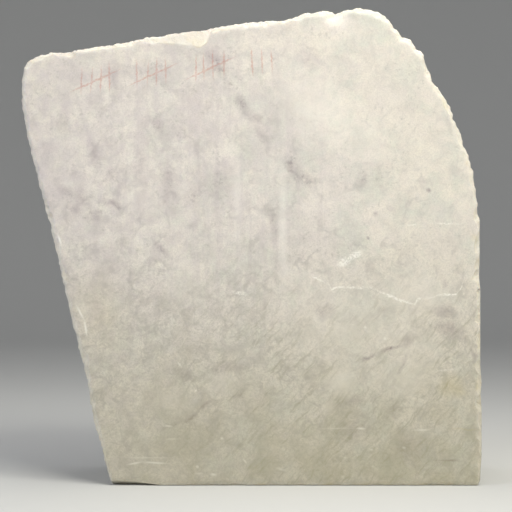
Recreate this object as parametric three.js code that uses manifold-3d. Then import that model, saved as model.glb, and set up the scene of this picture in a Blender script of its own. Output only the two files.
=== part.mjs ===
// A rough-split block of white marble, sawn and honed on its front.
// Millimetres, +Z up. The origin is the middle of the footprint, at the base.
// The honed face looks towards -Y; the block stands upright on its sawn base.

import * as THREE from 'three';
import { mergeVertices } from 'three/addons/utils/BufferGeometryUtils.js';
import Module from 'manifold-3d';

const wasm = await Module();
wasm.setup();

// Driving dimensions

const thickness = 120; // honed face to sawn back
const heart = { x: 0, z: 190 }; // wear and relief move the skin towards this line
const wornArris = { split: 1.9, sawn: 0.9 }; // how far each kind of arris has worn back
const wornDepth = 2.8; // how far the wear reaches round the arris
const bulge = 0.7; // how far a split side swells out just behind its arris
const hollowing = 8; // deepest dip of a split side behind the honed face
const hollowStart = 5; // depth where the dips begin
const hollowFull = 34; // depth where they have their full size
const footRise = 45; // above the base, the split sides have their full relief from this height
const notchReach = 40; // the outline's notches have smoothed out at this depth
const notchSpan = 4; // they are averaged with this many points on each side
const curveStep = 9; // spacing of points along a curved stretch
const flakeFineness = 7; // how finely a flake's ellipsoid is faceted

// The dips are two crossing waves: share of the whole, length along the side and
// through the block (as radians' worth of millimetres), and where each starts.
const dips = [
  { share: 0.6, along: 37, through: 23, start: 0.4 },
  { share: 0.4, along: 17, through: -15, start: 2.1 },
];

// Depths of the sections from the honed face; close together at both arrises.
const sectionDepths = [0, 1.1, 2.4, 4, 9, 17, 28, 41, 55, 69, 83, 96, 107, 114.5, 117.6, 119, thickness];

// The front outline, clockwise from the foot of the left side.
// Each stretch is [x, z] points. A curved stretch runs smoothly through its
// points, the others are straight from point to point.

const stretches = [
  {
    name: 'left side, split along one nearly straight line',
    split: 1,
    curved: true,
    points: [
      [-112.3, 0], [-114.8, 8], [-121.6, 36], [-127.9, 60], [-131.4, 84], [-143.7, 132],
      [-154.2, 180], [-160, 204], [-172.6, 252], [-182, 292], [-184.4, 314], [-184, 326], [-182.4, 335],
    ],
  },
  {
    name: 'top left corner, worn round',
    split: 1,
    curved: true,
    points: [[-182.4, 335], [-178.8, 340], [-172, 342.5], [-166, 345.5], [-160, 346.5]],
  },
  {
    name: 'top, split, rising to the right in shallow steps',
    split: 1,
    curved: true,
    points: [
      [-160, 346.5], [-151, 346], [-134, 349], [-102, 354], [-86, 357.5], [-70, 359.5],
      [-63.5, 361.7], [-38, 364], [-25, 367], [-12, 368.5],
    ],
  },
  {
    name: 'top, second step and the knob',
    split: 1,
    curved: false,
    points: [
      [-12, 368.5], [-4.5, 370.2], [13.5, 371.7], [26, 371.5], [30.5, 374], [45.5, 377.6], [58, 379.6],
      [63, 379], [67, 377.4], [71.5, 379.2], [76, 381.2], [84, 381.5], [99.5, 379.8], [106, 376],
    ],
  },
  {
    name: 'shoulder, broken off in notches',
    split: 1,
    curved: false,
    points: [
      [106, 376], [110, 371], [113, 366], [117.5, 362.5], [120, 359], [125, 358], [127, 356],
      [128, 353], [130.5, 349], [135, 347], [137, 344.5], [138, 340],
    ],
  },
  {
    name: 'shoulder, long curve down to the sawn side',
    split: 1,
    curved: true,
    points: [
      [138, 340], [141.4, 329.6], [149.4, 315.5], [153.8, 310], [158.8, 301], [160.8, 292.6],
      [163.8, 287.6], [167.8, 275.6], [172.3, 263.7], [175.6, 252.8], [177.8, 240], [179.6, 227],
      [180.6, 217],
    ],
  },
  {
    name: 'right side, sawn',
    split: 0,
    curved: false,
    points: [
      [180.6, 217], [182.4, 213.5], [182.4, 178], [182, 168], [183, 156], [183, 96],
      [184, 82], [183.2, 73], [184, 60], [184, 24], [183.2, 13], [182.8, 4], [181, 0],
    ],
  },
  {
    name: 'base, sawn flat',
    split: 0,
    curved: false,
    points: [[181, 0], [150, 0], [110, 0], [70, 0], [30, 0], [-10, 0], [-50, 0], [-85, 0], [-112.3, 0]],
  },
];

// Flakes knocked off the arrises.
// Each is an ellipsoid: where its middle is, its half sizes, and how it is
// turned about Y (in the plane of the honed face), in degrees.

const front = -thickness / 2;
const back = thickness / 2;

const flakes = [
  { name: 'first shoulder notch', at: [124, front - 4, 364], half: [8, 7, 9], turn: 20 },
  { name: 'second shoulder notch', at: [137, front - 4, 353], half: [9, 7, 9.5], turn: 35 },
  { name: 'chip between shoulder and sawn side', at: [187, front - 4, 215], half: [6, 8, 10], turn: 0 },
  { name: 'worn corner, top left', at: [-188, front - 6, 353], half: [20, 13, 17], turn: 35 },
  { name: 'shallow flake, foot of the left side', at: [-112, front - 5, -9.6], half: [60, 19, 14], turn: 0 },
  { name: 'corner off the back, top', at: [112, back + 8, 384], half: [44, 30, 34], turn: 30 },
  { name: 'corner off the back, foot', at: [188, back + 6, -4], half: [24, 27, 34], turn: 0 },
  { name: 'flake off the back, left side', at: [-176, back + 8, 240], half: [22, 17, 44], turn: -14 },
];

// The long flake along the top came away on one flat break, so its foot is a
// straight line across the honed face. Its outline is in [x, z] from the right
// end of that line, x along the line and z up the break.
const longFlake = {
  foot: [-41, front, 351.4],
  fall: 5, // degrees the line falls to the right
  lean: 15, // degrees the break leans back from the honed face
  standOff: 20, // how far the wedge reaches out in front of the break
  outline: [[-64, 0], [0, 0], [4.5, 4], [7, 10], [10, 20], [-64, 24]],
};

const finishes = {
  marble: new THREE.MeshStandardMaterial({ color: '#d6cfc0', roughness: 0.5, metalness: 0 }),
};

const clamp01 = (t) => Math.min(1, Math.max(0, t));
const ease = (t) => clamp01(t) ** 2 * (3 - 2 * clamp01(t));

// The outline as a closed run of { x, z, split }, without the repeated joints.
function outlinePoints() {
  const run = [];
  for (const { points, curved, split } of stretches) {
    const corners = points.map(([x, z]) => new THREE.Vector3(x, 0, z));
    let steps = corners;
    if (curved) {
      const curve = new THREE.CatmullRomCurve3(corners, false, 'centripetal');
      steps = curve.getSpacedPoints(Math.round(curve.getLength() / curveStep));
    }
    for (const p of steps.slice(0, -1)) {
      run.push({ x: p.x, z: Math.max(0, p.z), split });
    }
  }
  return softenSplit(run);
}

// Lets the split finish fade out over the points beside a sawn stretch.
function softenSplit(run) {
  const count = run.length;
  return run.map((p, i) => {
    const before = run[(i + count - 1) % count];
    const after = run[(i + 1) % count];
    return { x: p.x, z: p.z, split: Math.min(p.split, (before.split + p.split + after.split) / 3) };
  });
}

// How far a worn arris stands back from the outline, 1 at a face and 0 past the wear.
function arrisWear(depth) {
  const fromFace = Math.min(depth, thickness - depth);
  return (1 - clamp01(fromFace / wornDepth)) ** 2;
}

// The outline with the notches of its split stretches worn away, by an amount from 0 to 1.
// Neighbours count in pairs, and only where both are split, so a sawn edge never pulls the side in.
function smoothed(outline, amount) {
  const count = outline.length;
  return outline.map((p, i) => {
    const mean = new THREE.Vector2();
    for (let k = -notchSpan; k <= notchSpan; k += 1) {
      const neighbour = outline[(i + k + count) % count];
      const opposite = outline[(i - k + count) % count];
      const bothSplit = neighbour.split > 0 && opposite.split > 0;
      const q = bothSplit ? neighbour : p;
      mean.add(new THREE.Vector2(q.x, q.z).divideScalar(2 * notchSpan + 1));
    }
    const t = amount * ease(2 * p.split - 1);
    const between = new THREE.Vector2(p.x, p.z).lerp(mean, t);
    return { x: between.x, z: between.y, split: p.split };
  });
}

// Dips of a split side, 0 to 1: long waves crossing the block at a slant.
function hollow(along, depth) {
  let waves = 0;
  for (const dip of dips) {
    waves += dip.share * Math.sin(along / dip.along + depth / dip.through + dip.start);
  }
  return (0.5 + 0.5 * waves) * ease((depth - hollowStart) / (hollowFull - hollowStart));
}

// One closed section of the block, parallel to the honed face.
function section(outline, depth) {
  let along = 0;
  return smoothed(outline, ease(depth / notchReach)).map((p, i, points) => {
    const last = points[Math.max(0, i - 1)];
    along += Math.hypot(p.x - last.x, p.z - last.z);
    const wear = THREE.MathUtils.lerp(wornArris.sawn, wornArris.split, p.split) * arrisWear(depth);
    const dip = hollow(along, depth) * hollowing;
    const relief = ease(p.z / footRise) * (dip - bulge * (1 - arrisWear(depth)));
    const toHeart = new THREE.Vector2(heart.x - p.x, heart.z - p.z).setLength(1);
    toHeart.multiplyScalar(wear + p.split * relief);
    return new THREE.Vector3(p.x + toHeart.x, front + depth, Math.max(0, p.z + toHeart.y));
  });
}

// Joins the sections into one closed skin, with a flat face at each end.
function loft(sections) {
  const around = sections[0].length;
  const positions = sections.flat().flatMap((p) => [p.x, p.y, p.z]);
  const faces = [];
  for (let s = 0; s < sections.length - 1; s += 1) {
    for (let i = 0; i < around; i += 1) {
      const a = s * around + i;
      const b = s * around + ((i + 1) % around);
      faces.push(a, b, a + around, b, b + around, a + around);
    }
  }
  for (const s of [0, sections.length - 1]) {
    const flat = sections[s].map((p) => new THREE.Vector2(p.x, p.z));
    for (const [a, b, c] of THREE.ShapeUtils.triangulateShape(flat, [])) {
      const corner = [a, b, c].map((i) => s * around + i);
      faces.push(...(s === 0 ? corner : corner.reverse()));
    }
  }
  const geometry = new THREE.BufferGeometry();
  geometry.setAttribute('position', new THREE.Float32BufferAttribute(positions, 3));
  geometry.setIndex(faces);
  return geometry;
}

function flakeGeometry({ at, half, turn }) {
  const geometry = new THREE.IcosahedronGeometry(1, flakeFineness);
  geometry.scale(...half);
  geometry.rotateY(THREE.MathUtils.degToRad(turn));
  geometry.translate(...at);
  return geometry;
}

function longFlakeGeometry({ foot, fall, lean, standOff, outline }) {
  const shape = new THREE.Shape(outline.map(([x, z]) => new THREE.Vector2(x, z)));
  const geometry = new THREE.ExtrudeGeometry(shape, { depth: standOff, bevelEnabled: false });
  geometry.rotateX(Math.PI / 2 - THREE.MathUtils.degToRad(lean));
  geometry.rotateY(THREE.MathUtils.degToRad(fall));
  geometry.translate(...foot);
  return geometry;
}

function toSolid(geometry) {
  const bare = geometry.clone();
  bare.deleteAttribute('normal');
  bare.deleteAttribute('uv');
  const merged = mergeVertices(bare);
  const vertProperties = new Float32Array(merged.attributes.position.array);
  const triVerts = new Uint32Array(merged.index.array);
  return new wasm.Manifold(new wasm.Mesh({ numProp: 3, vertProperties, triVerts }));
}

function toGeometry(solid) {
  const { vertProperties, triVerts } = solid.getMesh();
  const geometry = new THREE.BufferGeometry();
  geometry.setAttribute('position', new THREE.BufferAttribute(vertProperties, 3));
  geometry.setIndex(new THREE.BufferAttribute(triVerts, 1));
  geometry.computeVertexNormals();
  return geometry;
}

function marbleBlock() {
  const outline = outlinePoints();
  const sections = sectionDepths.map((depth) => section(outline, depth));
  let solid = toSolid(loft(sections));
  for (const flake of [...flakes.map(flakeGeometry), longFlakeGeometry(longFlake)]) {
    solid = solid.subtract(toSolid(flake));
  }
  const geometry = toGeometry(solid);
  geometry.computeBoundingBox();
  geometry.translate(-geometry.boundingBox.getCenter(new THREE.Vector3()).x, 0, 0);
  const mesh = new THREE.Mesh(geometry, finishes.marble);
  mesh.name = 'marble_block';
  return mesh;
}

const group = new THREE.Group();
group.add(marbleBlock());

export default group;
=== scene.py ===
import math
import bpy
import numpy as np
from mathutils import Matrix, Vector, noise
from mathutils.bvhtree import BVHTree


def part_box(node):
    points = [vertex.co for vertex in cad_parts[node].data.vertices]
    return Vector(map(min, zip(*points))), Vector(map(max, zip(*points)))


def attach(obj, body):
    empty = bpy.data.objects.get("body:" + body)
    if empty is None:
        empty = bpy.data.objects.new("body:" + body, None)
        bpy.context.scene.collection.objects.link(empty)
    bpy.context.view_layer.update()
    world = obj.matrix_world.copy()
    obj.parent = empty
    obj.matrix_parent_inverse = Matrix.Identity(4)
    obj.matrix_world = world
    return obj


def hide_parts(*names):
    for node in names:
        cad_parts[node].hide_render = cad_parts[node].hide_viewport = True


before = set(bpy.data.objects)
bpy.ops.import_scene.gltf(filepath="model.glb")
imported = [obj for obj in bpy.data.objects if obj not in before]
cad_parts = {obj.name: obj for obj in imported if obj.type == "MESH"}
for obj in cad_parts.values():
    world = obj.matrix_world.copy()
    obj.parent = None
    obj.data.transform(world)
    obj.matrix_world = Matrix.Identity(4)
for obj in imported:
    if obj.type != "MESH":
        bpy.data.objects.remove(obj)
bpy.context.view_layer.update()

# A block of white veined marble: honed front, sawn base, back and right side,
# split top, shoulder and left side. Sizes below are in millimetres unless they say otherwise.
mm = 0.001
blockNode = "marble_block"
lowCorner, highCorner = (np.array(corner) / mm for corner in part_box(blockNode))
height = highCorner[2] - lowCorner[2]
frontY, backY = lowCorner[1], highCorner[1]
heart = np.array([0.0, height / 2])  # sections are measured outwards from here, in x and z

shape = {
    "around": 1280,  # points round each section, a multiple of 64 so that the flat faces can thin out
    # depths behind the front
    "frontSections": (0, 0.15, 0.35, 0.6, 0.95, 1.4, 1.9, 2.5, 3.3, 4.3, 5.6, 7.2, 9.2),
    "backSections": (0, 0.3, 0.7, 1.3, 2.1, 3.2, 4.6, 6.4, 8.8),  # depths before the back
    "middleStep": 1.75,  # between sections elsewhere
    "fineDepth": 9,  # behind the front; sections further back have half the points
    "rimRings": (0.6, 1.4, 2.4),  # rings on the flat faces, this far in from the rim
    "faceRings": (3.8, 6.0, 9.5, 18, 36, 66, 104),  # further in, each with half the points of the one before
    "sawnTop": 0.562,  # the sawn right side ends at this share of the height
    "sawnInset": 4.5,  # and lies within this much of the block's right edge
}

# The front's rim is worn into a soft roll, and hollowed where it was knocked
frontRim = {
    "drop": {"split": (0.25, 0.85), "sawn": (0.1, 0.3)},  # how far the rim stands back from the face
    "reach": (1.3, 4.6),  # how far in from the rim the roll begins
    "patchSize": 14,  # how fast both change along the rim
    "fadesBehind": 12,  # depth where the skin is back in its own place
    "dents": [((69, 382), 20, 3.8), ((79, 372), 12, 0.8), ((124, 363), 11, 1.5), ((139, 350), 10, 1.2),
              ((-152, 350), 14, 1.0)],  # (x, z), radius, depth
    "seed": 17,
}

splitRelief = {
    "scars": 130,  # shallow scoops left where the stone broke away
    "scarDeep": (0.8, 4.4),
    "scarCurve": (40, 200),  # radius of a scoop's hollow
    "lumpSize": 24, "lumpHigh": 1.4,
    "nibbleSize": 8.5, "nibbleHigh": (1.0, 0.55),  # waves: at the front arris, and behind it
    "crumbSize": 3.0, "crumbHigh": (0.8, 0.25),
    "grainSize": 2.2, "grainHigh": 0.16,
    "fadeIn": (1.5, 26),  # relief is held back near the front arris, to keep the outline
    "fadeFoot": 16,  # and over this height above the base
    "seed": 11,
}

# How each small chip sits on its arris
scoop = {
    "standOff": 0.55,  # a chip's middle is this share of its size outside the arris, each way
    "biteShare": 0.285,  # so it bites this share of its size into the stone
    "lean": 0.18,  # how far it may lie more to one face than to the other
    "mostlySmall": 1.4,  # over 1, small chips outnumber large ones
}
# Small chips knocked off the arrises: how many, how far they bite into the face, how long they are
arrisChips = {
    "frontSplit": {"count": 130, "bite": (0.3, 1.3), "stretch": (1.0, 3.0), "seed": 3},
    "frontSawn": {"count": 220, "bite": (0.3, 1.5), "stretch": (0.8, 2.6), "seed": 5},
    "backSplit": {"count": 150, "bite": (0.8, 4.5), "stretch": (1.0, 2.4), "seed": 7},
    "backSawn": {"count": 95, "bite": (0.4, 1.8), "stretch": (0.9, 2.4), "seed": 9},
}


def ease(t):
    t = np.clip(t, 0, 1)
    return t * t * (3 - 2 * t)


def sectionDepths():
    front = [frontY + d for d in shape["frontSections"]]
    back = [backY - d for d in reversed(shape["backSections"])]
    steps = round((back[0] - front[-1]) / shape["middleStep"])
    middle = list(np.linspace(front[-1], back[0], steps + 1)[1:-1])
    return np.array(front + middle + back)


# Distance from the heart line to the solid's skin, for each section and direction
def skinRadii(tree, depths, angles):
    radii = np.zeros((len(depths), len(angles)))
    inside = np.clip(depths, frontY + 0.02, backY - 0.02)
    for row, y in enumerate(inside):
        start = Vector((heart[0] * mm, y * mm, heart[1] * mm))
        for column, angle in enumerate(angles):
            hit = tree.ray_cast(start, Vector((math.cos(angle), 0, math.sin(angle))))
            radii[row, column] = hit[3] / mm
    return radii


# Directions that are evenly spaced along the outline
def evenAngles(tree, count):
    rough = np.linspace(0, 2 * math.pi, 6 * count, endpoint=False)
    radii = skinRadii(tree, np.array([frontY + 6]), rough)[0]
    x, z = radii * np.cos(rough), radii * np.sin(rough)
    lengths = np.hypot(np.roll(x, -1) - x, np.roll(z, -1) - z)
    along = np.concatenate([[0], np.cumsum(lengths)])
    wanted = np.linspace(0, along[-1], count, endpoint=False)
    return np.interp(wanted, along, np.append(rough, 2 * math.pi)), wanted


def fieldNoise(points, size, octaves, seed):
    shift = Vector((seed * 7.3, seed * 3.1, seed * 5.7))
    return np.array([noise.fractal(Vector(p) / size + shift, 0.9, 2.1, octaves) for p in points])


# Scoops with sharp ridges between them, over the unrolled sides
def scoopDepth(along, depth, length):
    rng = np.random.default_rng(splitRelief["seed"])
    deepest = np.zeros_like(depth)
    for _ in range(splitRelief["scars"]):
        centre, middle = rng.uniform(0, length), rng.uniform(frontY + 4, backY + 6)
        deep, curve = rng.uniform(*splitRelief["scarDeep"]), rng.uniform(*splitRelief["scarCurve"])
        stretch, turn = rng.uniform(1.0, 2.2), rng.uniform(0, math.pi)
        across = (along - centre + length / 2) % length - length / 2
        down = depth - middle
        a = across * math.cos(turn) + down * math.sin(turn)
        b = down * math.cos(turn) - across * math.sin(turn)
        deepest = np.maximum(deepest, deep - ((a / stretch) ** 2 + b ** 2) / (2 * curve))
    return deepest


# Carves one shallow ellipsoid scoop out of the skin, by pulling it in along each direction
def carve(radii, fresh, angles, depths, chip):
    column, y, bite, stretch, lean, spacing = chip
    count = len(angles)
    skin = radii[np.abs(depths - y).argmin()]
    here, there = skin[column - 2], skin[(column + 2) % count]
    first, last = angles[column - 2], angles[(column + 2) % count]
    one = np.array([here * math.cos(first), here * math.sin(first)])
    two = np.array([there * math.cos(last), there * math.sin(last)])
    tangent = (two - one) / np.linalg.norm(two - one)
    outward = np.array([tangent[1], -tangent[0]])
    size = bite / scoop["biteShare"]
    side = -1 if y < 0 else 1
    centre = (one + two) / 2 + outward * size * (scoop["standOff"] + lean)
    centreY = y + side * size * (scoop["standOff"] - lean)
    reach = int(size * stretch / spacing) + 6
    columns = np.arange(column - reach, column + reach + 1) % count
    rows = np.where(np.abs(depths - centreY) < size)[0]
    if not len(rows):
        return
    direction = np.stack([np.cos(angles[columns]), np.sin(angles[columns])], 1)
    offset = -centre
    dt, dn = direction @ tangent / (size * stretch), direction @ outward / size
    ot, on = offset @ tangent / (size * stretch), offset @ outward / size
    away = ((depths[rows] - centreY) / size) ** 2
    a = dt ** 2 + dn ** 2
    b = ot * dt + on * dn
    c = ot ** 2 + on ** 2 + away[:, None] - 1
    root = b ** 2 - a * c
    cut = np.where(root > 0, (-b - np.sqrt(np.maximum(root, 0))) / a, 1e9)
    far = np.where(root > 0, (-b + np.sqrt(np.maximum(root, 0))) / a, 0)
    grid = np.ix_(rows, columns)
    old = radii[grid]
    hit = (cut < old) & (far > old) & (cut > 0)
    radii[grid] = np.where(hit, cut, old)
    fresh[grid] = np.maximum(fresh[grid], np.where(hit, ease((old - cut) / 0.25), 0))


# Small chips along the four arrises; they keep off the larger flakes
def chipAway(radii, fresh, angles, depths, split, flaked, spacing):
    for name, chips in arrisChips.items():
        rng = np.random.default_rng(chips["seed"])
        y = frontY if name.startswith("front") else backY
        onSplit = name.endswith("Split")
        row = np.abs(depths - y).argmin()
        clear = flaked < 0.5 if name.startswith("front") else True
        places = np.where(((split[row] > 0.5) == onSplit) & clear)[0]
        for _ in range(chips["count"]):
            column = int(rng.choice(places))
            low, high = chips["bite"]
            bite = low * (high / low) ** (rng.random() ** scoop["mostlySmall"])
            stretch = rng.uniform(*chips["stretch"])
            lean = rng.uniform(-scoop["lean"], scoop["lean"])
            carve(radii, fresh, angles, depths, (column, y, bite, stretch, lean, spacing))


# How far each direction's rim stands back, and how far in its roll begins
def rimRoll(x, z, split, flaked):
    spots = np.stack([x, np.full_like(x, frontY), z], -1)
    size, seed = frontRim["patchSize"], frontRim["seed"]
    first, second = (ease(0.5 + 0.8 * fieldNoise(spots, size, 3, seed + i)) for i in range(2))
    (sawnLow, sawnHigh), (low, high) = frontRim["drop"]["sawn"], frontRim["drop"]["split"]
    drop = (sawnLow + (sawnHigh - sawnLow) * first) * (1 - split) + (low + (high - low) * first) * split
    reachLow, reachHigh = frontRim["reach"]
    reach = reachLow + (reachHigh - reachLow) * (0.4 * first + 0.6 * second)
    return drop * (1 - 0.9 * flaked), reach


def dentDepth(x, z):
    total = 0 * x
    for (dentX, dentZ), radius, deep in frontRim["dents"]:
        total += deep * ease(1 - np.hypot(x - dentX, z - dentZ) / radius)
    return total


# Faces between two rings, the second with as many points or with half of them
def joinRings(outer, inner):
    faces, count = [], len(inner)
    step = len(outer) // count
    for i in range(count):
        a, b, c = outer[step * i], outer[step * i + step // 2], outer[step * (i + 1) % len(outer)]
        d, e = inner[i], inner[(i + 1) % count]
        faces += [(a, b, d), (b, e, d), (b, c, e)] if step == 2 else [(a, c, e, d)]
    return faces


# One flat face: rings that step in from the rim, then a fan. The front's follow its soft roll.
def capFaces(vertices, rimBand, ring, x, z, drop, reach, facesFront):
    faces = []
    outer = ring
    radius = np.hypot(x, z)
    for inset in shape["rimRings"] + shape["faceRings"]:
        every = len(x) // len(outer) * (1 if inset in shape["rimRings"] else 2)
        kept = slice(None, None, every)
        share = 1 - inset / radius[kept]
        px, pz = x[kept] * share, heart[1] + z[kept] * share
        fall = np.clip(1 - inset / reach[kept], 0, None) ** 2 * drop[kept]
        py = frontY + fall + dentDepth(px, pz) if facesFront else np.full_like(px, backY)
        inner = list(range(len(vertices), len(vertices) + len(px)))
        vertices.extend(zip(px + heart[0], py, pz))
        rimBand.extend(np.clip(1 - inset / (0.7 * reach[kept]), 0, 1) * facesFront)
        faces += joinRings(outer, inner)
        outer = inner
    vertices.append((heart[0], frontY if facesFront else backY, heart[1]))
    rimBand.append(0)
    middle = len(vertices) - 1
    faces += [(outer[i], outer[(i + 1) % len(outer)], middle) for i in range(len(outer))]
    return faces if facesFront else [face[::-1] for face in faces]


def buildBlock(source):
    tree = BVHTree.FromObject(source, bpy.context.evaluated_depsgraph_get())
    count = shape["around"]
    angles, along = evenAngles(tree, count)
    spacing = along[1]
    length = along[-1] + spacing
    depths = sectionDepths()
    radii = skinRadii(tree, depths, angles)
    print("sampled", radii.shape, "outline mm", round(length))

    x, z = radii * np.cos(angles), heart[1] + radii * np.sin(angles)
    onBase = (z < 0.6) & (np.sin(angles) < 0)
    sideReach = ease((x - (highCorner[0] - shape["sawnInset"] - 2)) / 2)
    sawnSide = sideReach * ease((shape["sawnTop"] * height - z) / 5 + 0.5)
    split = np.where(onBase, 0, 1 - sawnSide)

    depthGrid = np.repeat(depths[:, None], count, 1)
    alongGrid = np.repeat(along[None, :], len(depths), 0)
    spots = np.stack([x, depthGrid, z], -1).reshape(-1, 3)
    wobble = 9 * fieldNoise(spots, 26, 2, 4).reshape(radii.shape)
    scoops = scoopDepth(alongGrid + wobble, depthGrid + wobble[:, ::-1], length)
    lumps = fieldNoise(spots, splitRelief["lumpSize"], 3, 1).reshape(radii.shape)
    nibbles = fieldNoise(spots, splitRelief["nibbleSize"], 2, 5).reshape(radii.shape)
    crumbs = fieldNoise(spots, splitRelief["crumbSize"], 3, 2).reshape(radii.shape)
    grains = fieldNoise(spots, splitRelief["grainSize"], 2, 3).reshape(radii.shape)
    start, full = splitRelief["fadeIn"]
    behind = ease((depthGrid - frontY - start) / (full - start))
    near = 0.6 + 0.4 * ease((depthGrid - frontY) / start)
    calmer = ease((depthGrid - frontY - 2) / 9)
    relief = behind * (scoops + lumps * splitRelief["lumpHigh"])
    waves = (nibbles, splitRelief["nibbleHigh"]), (crumbs, splitRelief["crumbHigh"])
    for field, (atFront, inside) in waves:
        relief += near * field * (atFront + (inside - atFront) * calmer)
    relief += near * grains * splitRelief["grainHigh"]
    endWear = ease((backY - depthGrid) / 2)
    footWear = ease(z / splitRelief["fadeFoot"])
    radii = radii - split * relief * (0.4 + 0.6 * endWear) * footWear
    radii = radii - (1 - split) * np.where(onBase, 0, 0.12 * crumbs)

    fresh = split.copy() * 0.75
    setBack = radii[np.abs(depths - frontY - 6).argmin()] - radii[0]
    flaked = ease((setBack - 4) / 2)
    chipAway(radii, fresh, angles, depths, split, flaked, spacing)
    x, z = radii * np.cos(angles), heart[1] + radii * np.sin(angles)
    z = np.maximum(z, 0)
    drop, reach = rimRoll(x[0], z[0], split[0], flaked)
    rimDrop = drop + dentDepth(x[0], z[0])
    depthGrid = depthGrid + rimDrop * (1 - ease((depthGrid - frontY) / frontRim["fadesBehind"]))
    print("carved", int((fresh > 0.9).sum()), "points")

    vertices, broken, rimBand, rings, faces = [], [], [], [], []
    # nearness to the front arris, for the rim band: crushed crystals, a painted highlight and rust
    wearAndHighlight = 1 - ease((depthGrid - frontY) / 5)
    for row, y in enumerate(depths):
        kept = slice(None, None, 1 if y < frontY + shape["fineDepth"] else 2)
        rings.append(list(range(len(vertices), len(vertices) + len(x[row, kept]))))
        vertices.extend(zip(x[row, kept] + heart[0], depthGrid[row, kept], z[row, kept]))
        broken.extend(fresh[row, kept])
        rimBand.extend(wearAndHighlight[row, kept])
    for outer, inner in zip(rings, rings[1:]):
        faces += [face[::-1] for face in joinRings(outer, inner)]
    capStart = len(vertices)
    for row, facesFront in ((0, True), (-1, False)):
        faces += capFaces(vertices, rimBand, rings[row], x[row], z[row] - heart[1], drop, reach, facesFront)

    mesh = bpy.data.meshes.new("marble")
    mesh.from_pydata((np.array(vertices) * mm).tolist(), [], faces)
    mesh.polygons.foreach_set("use_smooth", np.ones(len(faces), bool))
    mesh.set_sharp_from_angle(angle=math.radians(34))
    broken += [0.0] * (len(vertices) - capStart)
    honed = np.zeros(len(vertices))
    honed[:count] = 0.4  # the rim of the front
    honed[capStart:] = np.array(vertices[capStart:])[:, 1] < 0
    for name, values in (("broken", broken), ("honed", honed), ("rimBand", rimBand)):
        mesh.attributes.new(name, "FLOAT", "POINT").data.foreach_set("value", np.array(values, np.float32))
    mesh.validate()
    block = bpy.data.objects.new("marbleBlock", mesh)
    bpy.context.scene.collection.objects.link(block)
    print("block has", sum(len(face) - 2 for face in faces), "triangles")
    return block


def colour(code):
    channels = [int(code[i:i + 2], 16) / 255 for i in (1, 3, 5)]
    linear = [c / 12.92 if c <= 0.04045 else ((c + 0.055) / 1.055) ** 2.4 for c in channels]
    return (*linear, 1.0)


# Adds a node, sets its properties, fills its inputs with values or links, and gives back one output
def addNode(tree, kind, inputs=None, output=0, **settings):
    made = tree.nodes.new(kind)
    for name, value in settings.items():
        setattr(made, name, value)
    for name, value in (inputs or {}).items():
        if isinstance(value, bpy.types.NodeSocket):
            tree.links.new(value, made.inputs[name])
        else:
            made.inputs[name].default_value = value
    return made.outputs[output] if output is not None else made


# White marble with soft grey clouds, honed, sawn and split. The front was honed and then left to age,
# so the eye gets a dull, slightly translucent cream skin; sawn faces are rougher and plainer; breaks
# are sugary.
marble = {
    "ground": "#f4ede3",  # creamy white calcite
    "lilac": "#d5cbca",  # soft mauve grey clouds
    "sage": "#d9dccf",  # fainter clouds with a green cast
    "smoke": "#b1aca5",  # the fine grey net and specks
    "wisp": "#a8a394",  # brown grey wisps, lower right
    "thread": "#a59d9c",  # thin grey veins
    "darkVein": "#8c7c83",  # mauve grey, where the main vein is thickest
    "sugar": "#fbf7ef",  # fresh broken crystals
    "skin": "#e9e2d0",  # the old weathered break
    "dirtAndFootShade": "#a59f80",  # handling dirt and old dust, with painted shade where less light reaches the foot
    "ochre": "#d3c07d",  # iron stains
    "honedRough": 0.46, "sawnRough": 0.68, "splitRough": 0.6,
    "ior": 1.49,  # calcite, between its two indices
    "cloudSize": 40.0, "mottleSize": 12.0, "speckSize": 3.1, "grainSize": 1.15,  # millimetres
    "hazeAt": (-38, -60, 236), "hazeSize": (178, 400, 168),  # the cooler, paler middle, where the cream skin tint gives way to a painted cool sheen of mirrored window light
    "cellSize": 15.0,  # light cells of the net
    "streakSize": (6, 40, 90),  # where the hone ran down
    "wispSize": (17, 8, 2.6),  # along, through and across the slant
    "wispSlant": 50,  # degrees from level
    "crystalSize": 1.1,  # sugar grains on a break
    "granuleSize": 1.8, "pitSize": 0.9,
    "bladeSize": 24,  # saw lines, drawn this coarse so that they show at all
    "glow": 0.2, "glowDepth": 4,  # light goes a few millimetres into the stone
    "drift": (0.35, -0.22),  # how veins drift in x and z for each mm of depth
}
# How strongly each layer tints what is under it
shares = {
    "skin": 0.42, "sage": 0.66, "clouds": 0.65, "mottle": 0.68, "streaks": 0.4, "net": 0.5,
    "broadThreads": 0.3, "fineThreads": 0.42, "specks": 0.58, "grain": 0.2, "granules": 0.54,
    "wisps": 0.7, "paleSpots": 0.7, "darkVeins": 1.3, "stains": 0.4, "healed": 1.15,
    "scratchesAndSheenStreaks": 1.3, "gouges": 0.9, "dirtAndFootShade": 0.74, "rimSugarAndHighlight": 0.24, "rimOchre": 0.22, "broken": 0.45,
}
# Layers that fade over the face: which way, in millimetres from where to where, and the least left
fades = {
    "leftward": ("across", 130, -120, 0.35), "rightward": ("across", -170, 60, 0.45),
    "upward": ("up", 110, 230, 0.25), "downward": ("up", 230, 90, 0.35),
    "belowTop": ("up", 330, 180, 0.5), "lowerHalf": ("up", 200, 80, 0.2),
    "wispsUp": ("up", 205, 110, 0.0), "wispsAcross": ("across", -90, 20, 0.2),
}
smooth = {"interpolation_type": "SMOOTHSTEP"}  # for a Map Range that eases at both ends


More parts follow.
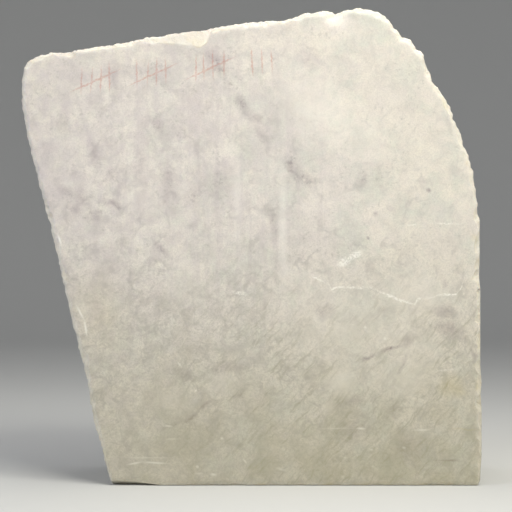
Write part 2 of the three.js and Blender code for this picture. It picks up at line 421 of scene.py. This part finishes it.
# Soft patches: 0 where the noise is under low, 1 where it is over high. Size is in millimetres.
def patches(tree, place, size, low, high, detail=4.0, roughness=0.6):
    field = addNode(tree, "ShaderNodeTexNoise", {"Vector": place, "Scale": 1 / size, "Detail": detail,
                                                 "Roughness": roughness})
    return addNode(tree, "ShaderNodeMapRange", {"Value": field, "From Min": low, "From Max": high}, **smooth)


# Where several masks are at once
def overlap(tree, *masks):
    total = masks[0]
    for mask in masks[1:]:
        total = addNode(tree, "ShaderNodeMath", {0: total, 1: mask}, operation="MULTIPLY")
    return total


# Thin wandering lines, where a noise passes through its middle
def threads(tree, place, size, thick):
    field = addNode(tree, "ShaderNodeTexNoise", {"Vector": place, "Scale": 1 / size, "Detail": 3.0,
                                                 "Roughness": 0.55})
    off = addNode(tree, "ShaderNodeMath", {0: field, 1: 0.5}, operation="SUBTRACT")
    off = addNode(tree, "ShaderNodeMath", {0: off}, operation="ABSOLUTE")
    return addNode(tree, "ShaderNodeMapRange", {"Value": off, "From Min": thick, "From Max": 0.0}, **smooth)


# Lays a tint over a colour where the mask is, at a share of full strength
def layOver(tree, under, tint, mask, share=1.0):
    weak = addNode(tree, "ShaderNodeMath", {0: mask, 1: share}, operation="MULTIPLY")
    return addNode(tree, "ShaderNodeMix", {0: weak, 6: under, 7: colour(tint)}, output=2, data_type="RGBA")


# A place shaken by noise, so that what is drawn at it wanders
def shaken(tree, place, size, reach, detail=3.0):
    push = addNode(tree, "ShaderNodeTexNoise", {"Vector": place, "Scale": 1 / size, "Detail": detail},
                   output="Color")
    push = addNode(tree, "ShaderNodeVectorMath", {0: push, 1: (-0.5, -0.5, -0.5)}, operation="ADD")
    return addNode(tree, "ShaderNodeVectorMath", {0: push, 1: reach, 2: place}, operation="MULTIPLY_ADD")


# Marks on the face, each a long soft spot: start and end (x, z), half width, strength
darkVeins = [
    ((-38, 353), (-12, 314), 5.5, 0.4),  # the main vein, faint at first
    ((-14, 316), (-3, 297), 6.5, 0.5),
    ((-8, 303), (12, 286), 6.5, 0.34),
    ((5, 290), (13, 303), 4.0, 0.22),
    ((2, 290), (14, 272), 5.0, 0.4),
    ((23, 268), (41, 242), 6.0, 0.42),  # and hooked at its end
    ((30, 250), (58, 241), 6.5, 0.44),
    ((20, 262), (56, 234), 13.0, 0.18),
    ((14, 232), (20, 188), 4.5, 0.4),
    ((-50, 344), (-6, 338), 14.0, 0.24), ((34, 346), (58, 338), 13.0, 0.24),  # faint clouds near the top
    ((-72, 262), (-60, 226), 8.0, 0.32), ((-50, 246), (-44, 218), 8.0, 0.3),
    ((-20, 262), (-30, 230), 9.0, 0.28), ((-84, 300), (-66, 276), 8.0, 0.3),
    ((91, 252), (84, 235), 5.0, 0.45),
    ((140, 239), (142, 233), 2.2, 1.0),
    ((92, 200), (95, 196), 1.8, 0.8),
    ((98, 219), (101, 214), 2.2, 0.5),
    ((-160, 240), (-136, 230), 6.0, 0.4), ((-142, 238), (-128, 222), 7.0, 0.45),
    ((-150, 228), (-134, 216), 5.0, 0.45), ((-136, 218), (-112, 213), 7.0, 0.4),
    ((-125, 229), (-98, 222), 4.0, 0.6),
    ((-81, 198), (-64, 181), 3.2, 0.55),
    ((-129, 282), (-123, 250), 6.0, 0.35),
    ((-152, 306), (-147, 272), 7.0, 0.3),
    ((-108, 352), (-112, 300), 5.0, 0.3),
    ((-76, 44), (-51, 52), 3.0, 0.45),  # the lower left vein
    ((-56, 49), (-42, 60), 2.8, 0.95),
    ((-45, 58), (-31, 69), 2.6, 0.85),
    ((-35, 67), (-20, 68), 2.4, 0.45),
    ((-18, 68), (-2, 78), 3.4, 0.5),
    ((-40, 94), (4, 96), 7.0, 0.4),
    ((-63, 93), (-48, 86), 6.0, 0.4),
    ((83, 99), (103, 107), 2.6, 0.9),  # the lower right vein
    ((99, 107), (122, 113), 2.4, 0.8),
    ((116, 111), (133, 122), 6.0, 0.6),
    ((110, 74), (128, 113), 2.2, 0.45),
    ((62, 58), (95, 75), 4.5, 0.45),
    ((140, 141), (170, 136), 8.0, 0.5),
    ((143, 130), (176, 118), 8.0, 0.6),
    ((54, 148), (62, 130), 10.0, 0.35),
    ((153, 168), (156, 156), 3.5, 0.45),
    ((175, 110), (179, 100), 2.5, 0.6),
    ((104, 68), (122, 57), 9.0, 0.35),
    ((114, 38), (142, 18), 15.0, 0.5),
    ((60, 36), (100, 52), 14.0, 0.3),
]
paleSpots = [
    ((25, 335), (75, 268), 30.0, 0.8), ((0, 150), (150, 100), 55.0, 0.6),
    ((-70, 175), (-40, 150), 24.0, 0.4),
    ((98, 84), (152, 86), 20.0, 0.8), ((-40, 78), (-8, 84), 13.0, 0.6), ((54, 64), (72, 60), 9.0, 0.7),
    ((-80, 70), (-62, 66), 10.0, 0.5), ((120, 262), (60, 300), 26.0, 0.4),
    ((56, 85), (88, 78), 14.0, 1.1), ((98, 156), (172, 150), 26.0, 0.75),
    ((92, 126), (165, 98), 20.0, 0.45), ((-78, 74), (-40, 60), 15.0, 0.45),
    ((-105, 240), (-66, 224), 20.0, 0.35),
]
stains = [
    ((146, 84), (172, 76), 13.0, 0.7), ((160, 80), (172, 70), 6.0, 0.35), ((174, 200), (183, 194), 5.0, 0.6),
    ((156, 45.2), (186, 44.8), 1.2, 0.8), ((-132, 180), (-112, 96), 30.0, 0.3),
]
# The healed crack: the (x, z) it runs through, and how plainly it shows along x
crack = {
    "path": [(42, 171), (54, 165), (62.5, 160.5), (63.5, 156.8), (69, 158.8), (96, 158.4), (106, 154),
             (118, 148.6), (130.5, 145.2), (133, 149.4), (144, 150.4), (151, 153), (164, 152.8), (168, 159),
             (171, 168)],
    "marks": [((44, 0), (60, 0), 1.3, 1.0), ((60, 0), (74, 0), 1.6, 1.3), ((64, 0), (104, 0), 1.6, 0.9),
              ((94, 0), (136, 0), 1.8, 1.5), ((129, 0), (137, 0), 2.4, 0.9), ((132, 0), (154, 0), 1.3, 0.6),
              ((147, 0), (169, 0), 1.4, 1.1), ((160, 0), (174, 0), 1.1, 0.6)],
}
paleFlecks = [
    ((67, 176.5), (80, 181), 4.4, 1.4), ((74, 180.5), (91, 188), 3.6, 1.3),
    ((121, 208), (138, 209.4), 1.0, 0.6), ((140, 210.3), (171, 209.2), 1.1, 0.8),
    ((141, 90.4), (172, 94.8), 1.0, 0.6), ((-17, 155.6), (-2, 152.6), 2.0, 1.1),
    ((89, 130), (93, 123), 1.8, 0.8), ((105, 118.6), (109, 117.6), 1.8, 1.0),
    ((17, 116), (20, 113), 2.0, 0.7),
]
# Pale marks: scratch lines and nicks of handling, then two soft streaks of painted reflection, the bars of a
# window mirrored in the honed face
scratchesAndSheenStreaks = [
    ((-101, 16.6), (-86, 19.3), 1.1, 1.0), ((-90, 19.2), (-64, 17.6), 1.1, 1.0),
    ((-105, 22.3), (-60, 22.5), 0.8, 0.45), ((-155.4, 203), (-151.6, 191), 1.2, 0.9),
    ((-141, 146), (-133, 131), 1.2, 0.7), ((-134, 134), (-131.4, 118), 1.3, 0.9),
    ((-71, 48), (-62, 47.6), 1.1, 0.8), ((-69, 37.2), (-58, 37.5), 1.1, 0.6),
    ((-60, 100), (-55, 94), 1.1, 0.6), ((-7.6, 22.6), (-3.2, 17), 1.1, 0.8),
    ((53, 45.6), (85, 46), 0.9, 0.4), ((83, 46), (92, 45.6), 1.2, 0.9),
    ((127, 44.4), (144, 44.8), 1.2, 0.7), ((-45, 15.4), (-41.6, 15), 1.6, 1.2),
    ((-47, 9.6), (-38, 10), 1.3, 0.6), ((-34, 9.4), (-27, 8.6), 1.5, 1.0),
    ((-45.4, 76.6), (-43.6, 75.6), 1.4, 1.0), ((-25.4, 37.8), (-22, 38), 1.4, 0.9),
    ((17, 15.2), (29, 11.6), 1.5, 0.6), ((71, 7.6), (75, 7), 1.5, 0.8),
    ((94, 29.4), (98, 28.4), 1.4, 0.7), ((73, 22.8), (77, 22.2), 1.3, 0.7),
    ((120, 30.8), (124, 30), 1.3, 0.7), ((95, 15.6), (99, 15), 1.3, 0.6),
    # the two painted reflection streaks, soft and pale
    ((-12, 274), (-11, 178), 5.0, 0.22), ((25, 272), (25.6, 136), 5.0, 0.32),
]
gouges = [((150, 20.2), (168, 20.2), 1.3, 1.0), ((138, 20.5), (156, 20.2), 1.0, 0.35)]
# Red wax crayon, worn thin: a mason's tally, sloping up to the right
tally = {
    "wax": "#c2603c", "strength": 0.36, "halfWidth": 0.95,
    "groups": [(-137, 310, 5), (-91, 315, 5), (-45, 320, 5), (1, 325, 3)],  # x, z of the foot, strokes
    "spacing": 7.6, "tall": 27, "rise": 1.1, "crossing": ((-12, 3), (36, 25)), "seed": 21,
}


# The sum of all the marks in a list, at a place on the face
def marked(tree, place, marks):
    total = 0.0
    for (x0, z0), (x1, z1), halfWidth, strength in marks:
        halfLong, turn = math.hypot(x1 - x0, z1 - z0) / 2, math.atan2(z1 - z0, x1 - x0)
        local = addNode(tree, "ShaderNodeMapping", {
            "Vector": place, "Location": ((x0 + x1) / 2, (z0 + z1) / 2, 0), "Rotation": (0, 0, turn),
            "Scale": (halfLong, halfWidth, 1)}, vector_type="TEXTURE")
        fade = addNode(tree, "ShaderNodeTexGradient", {"Vector": local}, output="Fac",
                       gradient_type="SPHERICAL")
        total = addNode(tree, "ShaderNodeMath", {0: fade, 1: strength, 2: total}, operation="MULTIPLY_ADD")
    return total


def tallyMarks():
    rng = np.random.default_rng(tally["seed"])
    marks = []
    for x, z, strokes in tally["groups"]:
        for i in range(min(strokes, 4)):
            foot = x + i * tally["spacing"] + rng.uniform(-0.8, 0.8)
            start = z + i * tally["rise"]
            lean, end = rng.uniform(-1.5, 2.5), start + tally["tall"] + rng.uniform(-2, 2)
            marks.append(((foot, start), (foot + lean, end), tally["halfWidth"], rng.uniform(0.6, 1.1)))
        if strokes == 5:  # the fifth crosses the other four
            (startX, startZ), (endX, endZ) = tally["crossing"]
            marks.append(((x + startX, z + startZ), (x + endX, z + endZ), tally["halfWidth"], 1.0))
    return marks


# The crack's place is flattened along its path, so that its marks lie on one level
def crackMask(tree, place):
    path = np.array(crack["path"])
    (startX, low), (endX, high) = path.min(0), path.max(0)
    reach = high - low
    parts = addNode(tree, "ShaderNodeSeparateXYZ", {0: place}).node.outputs
    share = addNode(tree, "ShaderNodeMapRange", {"Value": parts[0], "From Min": startX, "From Max": endX})
    curved = addNode(tree, "ShaderNodeFloatCurve", {"Value": share})
    mapping = curved.node.mapping
    mapping.use_clip = False
    points = mapping.curves[0].points
    spots = [((x - startX) / (endX - startX), (z - low) / reach) for x, z in path]
    points[0].location, points[-1].location = spots[0], spots[-1]
    for spot in spots[1:-1]:
        points.new(*spot)
    for point in points:
        point.handle_type = "VECTOR"
    mapping.update()
    level = addNode(tree, "ShaderNodeMath", {0: parts[1], 1: low}, operation="SUBTRACT")
    level = addNode(tree, "ShaderNodeMath", {0: curved, 1: -reach, 2: level}, operation="MULTIPLY_ADD")
    flattened = addNode(tree, "ShaderNodeCombineXYZ", {0: parts[0], 1: level})
    return marked(tree, flattened, crack["marks"])


# Clouds of two hues over the cream, a broken net round light cells, specks, and slanting wisps
def cloudedStone(tree, spot, wandered, u, v):
    places = {"across": u, "up": v}
    fade = {name: addNode(tree, "ShaderNodeMapRange", {"Value": places[way], "From Min": start,
                                                       "From Max": full, "To Min": least}, **smooth)
            for name, (way, start, full, least) in fades.items()}
    apart = addNode(tree, "ShaderNodeVectorMath", {0: wandered, 1: (310, 70, 145)}, operation="ADD")
    clouds = patches(tree, wandered, marble["cloudSize"], 0.4, 0.66, 5.0)
    mottle = patches(tree, wandered, marble["mottleSize"], 0.36, 0.68, 6.0, 0.68)
    sage = patches(tree, apart, 24, 0.42, 0.66, 5.0, 0.66)
    haze = addNode(tree, "ShaderNodeMapping", {"Vector": wandered, "Location": marble["hazeAt"],
                                               "Scale": marble["hazeSize"]}, vector_type="TEXTURE")
    haze = addNode(tree, "ShaderNodeTexGradient", {"Vector": haze}, output="Fac", gradient_type="SPHERICAL")
    outside = addNode(tree, "ShaderNodeMapRange", {"Value": haze, "From Min": 0.5, "From Max": 0.0},
                      **smooth)
    # outside the middle the stone takes its cream skin tint; inside it stays paler and cooler, a painted
    # sheen of mirrored window light
    base = layOver(tree, colour(marble["ground"]), marble["skin"], outside, shares["skin"])
    base = layOver(tree, base, marble["sage"], overlap(tree, sage, fade["rightward"]), shares["sage"])
    base = layOver(tree, base, marble["lilac"], overlap(tree, clouds, fade["leftward"], fade["upward"]),
                   shares["clouds"])
    base = layOver(tree, base, marble["lilac"], overlap(tree, mottle, fade["leftward"]), shares["mottle"])
    drawnOut = addNode(tree, "ShaderNodeMapping", {"Vector": spot, "Scale": marble["streakSize"]},
                       vector_type="TEXTURE")
    within = addNode(tree, "ShaderNodeMapRange", {"Value": haze, "From Min": 0.1, "From Max": 0.6}, **smooth)
    streaks = overlap(tree, patches(tree, drawnOut, 1.0, 0.42, 0.66, 3.0), within)
    base = layOver(tree, base, marble["lilac"], streaks, shares["streaks"])

    # Thin grey lines: a net round light cells, and wandering threads
    cells = addNode(tree, "ShaderNodeTexVoronoi", {"Vector": wandered, "Scale": 1 / marble["cellSize"]},
                    feature="DISTANCE_TO_EDGE")
    net = addNode(tree, "ShaderNodeMapRange", {"Value": cells, "From Min": 0.4, "From Max": 0.0}, **smooth)
    net = overlap(tree, net, patches(tree, apart, 13, 0.42, 0.66, 4.0, 0.66), fade["downward"])
    base = layOver(tree, base, marble["smoke"], net, shares["net"])
    broad = overlap(tree, threads(tree, apart, 30, 0.05), patches(tree, spot, 19, 0.4, 0.6),
                    fade["belowTop"])
    fine = overlap(tree, threads(tree, wandered, 17, 0.04), patches(tree, apart, 16, 0.48, 0.62),
                   fade["lowerHalf"])
    base = layOver(tree, base, marble["thread"], broad, shares["broadThreads"])
    base = layOver(tree, base, marble["thread"], fine, shares["fineThreads"])

    # Specks and grains, from a few millimetres down to what barely shows
    specks = patches(tree, spot, marble["speckSize"], 0.5, 0.74, 3.0, 0.7)
    gathered = overlap(tree, specks, patches(tree, apart, 17, 0.42, 0.68, 3.0))
    base = layOver(tree, base, marble["smoke"], gathered, shares["specks"])
    grain = patches(tree, spot, marble["grainSize"], 0.3, 0.7, 2.0)
    base = layOver(tree, base, marble["smoke"], grain, shares["grain"])
    granules = patches(tree, apart, marble["granuleSize"], 0.42, 0.66, 4.0, 0.8)
    granules = overlap(tree, granules, fade["downward"])
    base = layOver(tree, base, marble["smoke"], granules, shares["granules"])

    slanted = addNode(tree, "ShaderNodeMapping", {
        "Vector": wandered, "Rotation": (0, -math.radians(marble["wispSlant"]), 0),
        "Scale": marble["wispSize"]}, vector_type="TEXTURE")
    wisps = overlap(tree, patches(tree, slanted, 1.0, 0.5, 0.74), fade["wispsUp"], fade["wispsAcross"])
    return layOver(tree, base, marble["wisp"], wisps, shares["wisps"]), clouds, specks


# The veins and stains in the stone, and what was scratched and drawn on its front
def markedStone(tree, base, spot, face, specks, onFront):
    bentFace = shaken(tree, face, 10, (7, 7, 0), 5.0)
    base = layOver(tree, base, marble["ground"], marked(tree, bentFace, paleSpots), shares["paleSpots"])
    frayed = addNode(tree, "ShaderNodeMapRange", {"Value": specks, "From Max": 0.8, "To Min": 0.6}, **smooth)
    veins = overlap(tree, marked(tree, bentFace, darkVeins), frayed, patches(tree, spot, 6.5, 0.2, 0.52))
    base = layOver(tree, base, marble["darkVein"], veins, shares["darkVeins"])
    base = layOver(tree, base, marble["ochre"], marked(tree, bentFace, stains), shares["stains"])

    crumbled = patches(tree, spot, 1.7, 0.4, 0.6, 2.0)
    brokenUp = addNode(tree, "ShaderNodeMapRange", {"Value": crumbled, "To Min": 0.25}, **smooth)
    rough = shaken(tree, face, 2.2, (2.0, 2.0, 0.0), 2.0)
    healed = addNode(tree, "ShaderNodeMath", {0: crackMask(tree, rough), 1: marked(tree, rough, paleFlecks)},
                     operation="ADD")
    base = layOver(tree, base, marble["sugar"], overlap(tree, healed, brokenUp), shares["healed"])
    base = layOver(tree, base, marble["sugar"], overlap(tree, marked(tree, face, scratchesAndSheenStreaks), onFront),
                   shares["scratchesAndSheenStreaks"])
    base = layOver(tree, base, marble["darkVein"], overlap(tree, marked(tree, rough, gouges), onFront),
                   shares["gouges"])
    waxed = marked(tree, rough, tallyMarks())
    waxed = addNode(tree, "ShaderNodeMapRange", {"Value": waxed, "From Max": 0.5}, **smooth)
    worn = addNode(tree, "ShaderNodeMapRange", {"Value": crumbled, "To Min": 0.55}, **smooth)
    return layOver(tree, base, tally["wax"], overlap(tree, waxed, worn, onFront), tally["strength"])


# What handling, wear and breaking did to the skin, with painted shade towards the foot and a painted
# highlight on the front rim
def weatheredStoneAndPaintedLight(tree, base, spot, heightHere, clouds, broken):
    # Dirt and painted shade: greener and darker towards the foot, where less light falls
    foot = addNode(tree, "ShaderNodeMapRange", {"Value": heightHere, "From Min": 240, "From Max": -50},
                   **smooth)
    dirtAndShadeSpread = addNode(tree, "ShaderNodeMapRange", {"Value": clouds, "To Min": 0.75}, **smooth)
    # painted shade as well as dirt: the stone is darkened towards the foot
    base = layOver(tree, base, marble["dirtAndFootShade"], overlap(tree, foot, dirtAndShadeSpread), shares["dirtAndFootShade"])

    # The front rim: crushed crystals, paler than the skin, with a painted highlight that lifts the rim's
    # roll where it turns away from the lamps; rusty in places
    rim = addNode(tree, "ShaderNodeAttribute", attribute_name="rimBand", output="Fac")
    crushedAndLit = overlap(tree, rim, patches(tree, spot, 5.5, 0.34, 0.66, 4.0))
    rusty = overlap(tree, rim, patches(tree, spot, 16, 0.5, 0.68, 3.0))
    # painted highlight on the rim, together with the paler crushed crystals
    base = layOver(tree, base, marble["sugar"], crushedAndLit, shares["rimSugarAndHighlight"])
    base = layOver(tree, base, marble["ochre"], rusty, shares["rimOchre"])
    return layOver(tree, base, marble["skin"], broken, shares["broken"])


# Bumps: crystals on breaks, blade lines on sawn faces, fine pits on the honed one
def stoneBumps(tree, spot, broken, sawn):
    crystals = addNode(tree, "ShaderNodeTexVoronoi", {"Vector": spot, "Scale": 1 / marble["crystalSize"]})
    pits = addNode(tree, "ShaderNodeTexNoise", {"Vector": spot, "Scale": 1 / marble["pitSize"],
                                                "Detail": 2.0})
    blade = addNode(tree, "ShaderNodeTexWave", {
        "Vector": spot, "Scale": 1 / marble["bladeSize"], "Distortion": 1.2, "Detail": 2.0,
        "Detail Scale": 0.6}, bands_direction="Z", wave_profile="SAW")
    high = overlap(tree, crystals, broken)
    high = addNode(tree, "ShaderNodeMath", {0: pits, 1: 0.12, 2: high}, operation="MULTIPLY_ADD")
    blade = overlap(tree, blade, sawn)
    high = addNode(tree, "ShaderNodeMath", {0: blade, 1: 0.35, 2: high}, operation="MULTIPLY_ADD")
    return addNode(tree, "ShaderNodeBump", {"Height": high, "Strength": 0.55, "Distance": 0.4 * mm})


def veinedMarble():
    material = bpy.data.materials.new("honedVeinedMarble")
    material.use_nodes = True
    tree = material.node_tree
    tree.nodes.clear()

    spot = addNode(tree, "ShaderNodeTexCoord", output="Object")
    spot = addNode(tree, "ShaderNodeVectorMath", {0: spot, "Scale": 1 / mm}, operation="SCALE")
    parts = addNode(tree, "ShaderNodeSeparateXYZ", {0: spot}).node.outputs
    behind = addNode(tree, "ShaderNodeMath", {0: parts[1], 1: frontY}, operation="SUBTRACT")
    driftX, driftZ = marble["drift"]
    u = addNode(tree, "ShaderNodeMath", {0: behind, 1: driftX, 2: parts[0]}, operation="MULTIPLY_ADD")
    v = addNode(tree, "ShaderNodeMath", {0: behind, 1: driftZ, 2: parts[2]}, operation="MULTIPLY_ADD")
    face = addNode(tree, "ShaderNodeCombineXYZ", {0: u, 1: v})
    wandered = shaken(tree, spot, 19, (11, 11, 11))

    # Which finish is here: honed in front, split and sugary, or else sawn
    onFront = addNode(tree, "ShaderNodeAttribute", attribute_name="honed", output="Fac")
    offFront = addNode(tree, "ShaderNodeMath", {0: 1.0, 1: onFront}, operation="SUBTRACT")
    broken = addNode(tree, "ShaderNodeAttribute", attribute_name="broken", output="Fac")
    broken = overlap(tree, broken, offFront)
    sawn = addNode(tree, "ShaderNodeMath", {0: offFront, 1: broken}, operation="SUBTRACT")

    base, clouds, specks = cloudedStone(tree, spot, wandered, u, v)
    base = markedStone(tree, base, spot, face, specks, onFront)
    base = weatheredStoneAndPaintedLight(tree, base, spot, parts[2], clouds, broken)

    rough = addNode(tree, "ShaderNodeMapRange", {"Value": onFront, "To Min": marble["sawnRough"],
                                                 "To Max": marble["honedRough"]})
    rough = addNode(tree, "ShaderNodeMapRange", {"Value": broken, "To Min": rough,
                                                 "To Max": marble["splitRough"]})
    rough = addNode(tree, "ShaderNodeMath", {0: clouds, 1: 0.08, 2: rough}, operation="MULTIPLY_ADD")

    surface = addNode(tree, "ShaderNodeBsdfPrincipled", {
        "Base Color": base, "Roughness": rough, "Normal": stoneBumps(tree, spot, broken, sawn),
        "IOR": marble["ior"], "Subsurface Weight": marble["glow"], "Subsurface Radius": (1.0, 0.72, 0.5),
        "Subsurface Scale": marble["glowDepth"] * mm})
    addNode(tree, "ShaderNodeOutputMaterial", {"Surface": surface}, output=None)
    return material


# Matt emulsion on the studio cove: no sheen, so the eye finds only a soft pale ground
def paintedCove(code):
    material = bpy.data.materials.new("mattCovePaint")
    material.use_nodes = True
    surface = material.node_tree.nodes["Principled BSDF"]
    surface.inputs["Base Color"].default_value = colour(code)
    surface.inputs["Roughness"].default_value = 0.85
    return material


studio = {
    "cove": "#cfcfcd",  # pale grey, darker than the marble so that its outline reads
    "reach": 3.2, "bend": 1.2, "rise": 3.0,  # metres; it runs all the way round
    "lens": 105.0, "aim": (0.0036, 0.1838), "frameWidth": 0.4096,  # at the front face, in metres
}
room = {"tint": "#ebedf2", "strength": 0.42}
lights = {
    "keyAbove": {"at": (0.40, -0.64, 1.06), "aim": (0.06, -0.05, 0.30), "size": (0.7, 0.5),
                 "watts": 11.9, "tint": "#fffdf3"},
    "topWash": {"at": (0.05, 0.02, 1.2), "aim": (0.0, 0.0, 0.3), "size": (0.9, 0.35),
                "watts": 3.6, "tint": "#fffcf5"},
    "coolWindow": {"at": (-1.25, -0.62, 0.6), "aim": (-0.05, 0.0, 0.2), "size": (0.5, 0.7),
                   "watts": 6.2, "tint": "#e8efff"},
}


def buildCove():
    reach, bend = studio["reach"], studio["bend"]
    turns = [math.pi / 2 * step / 12 for step in range(13)]
    profile = [(0.6, 0.0)] + [(reach - bend + bend * math.sin(t), bend * (1 - math.cos(t))) for t in turns]
    profile.append((reach, studio["rise"]))
    count = 96
    ways = [2 * math.pi * i / count for i in range(count)]
    vertices = [(radius * math.cos(w), radius * math.sin(w), z) for radius, z in profile for w in ways]
    rings = [list(range(row * count, (row + 1) * count)) for row in range(len(profile))]
    faces = [rings[0]]
    for inner, outer in zip(rings, rings[1:]):
        faces += joinRings(outer, inner)
    mesh = bpy.data.meshes.new("cove")
    mesh.from_pydata(vertices, [], faces)
    mesh.polygons.foreach_set("use_smooth", np.ones(len(faces), bool))
    mesh.materials.append(paintedCove(studio["cove"]))
    cove = bpy.data.objects.new("paintedCove", mesh)
    bpy.context.scene.collection.objects.link(cove)


def addLights():
    for name, light in lights.items():
        lamp = bpy.data.lights.new(name, "AREA")
        lamp.shape = "RECTANGLE"
        lamp.size, lamp.size_y = light["size"]
        lamp.energy = light["watts"]
        lamp.color = colour(light["tint"])[:3]
        holder = bpy.data.objects.new(name, lamp)
        holder.location = light["at"]
        way = Vector(light["aim"]) - Vector(light["at"])
        holder.rotation_euler = way.to_track_quat("-Z", "Y").to_euler()
        bpy.context.scene.collection.objects.link(holder)
    world = bpy.data.worlds.new("softRoom")
    world.use_nodes = True
    backing = world.node_tree.nodes["Background"]
    backing.inputs["Color"].default_value = colour(room["tint"])
    backing.inputs["Strength"].default_value = room["strength"]
    bpy.context.scene.world = world


def addCamera():
    view = bpy.data.cameras.new("camera")
    view.lens = studio["lens"]
    distance = studio["frameWidth"] * studio["lens"] / view.sensor_width
    camera = bpy.data.objects.new("camera", view)
    aimX, aimZ = studio["aim"]
    camera.location = (aimX, frontY * mm - distance, aimZ)
    camera.rotation_euler = (math.pi / 2, 0, 0)
    bpy.context.scene.collection.objects.link(camera)
    bpy.context.scene.camera = camera


block = buildBlock(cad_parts[blockNode])
block.data.materials.append(veinedMarble())
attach(block, "root")
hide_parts(blockNode)
print("marble set")

buildCove()
addLights()
addCamera()
bpy.context.scene.view_settings.view_transform = "Standard"
print("studio set")
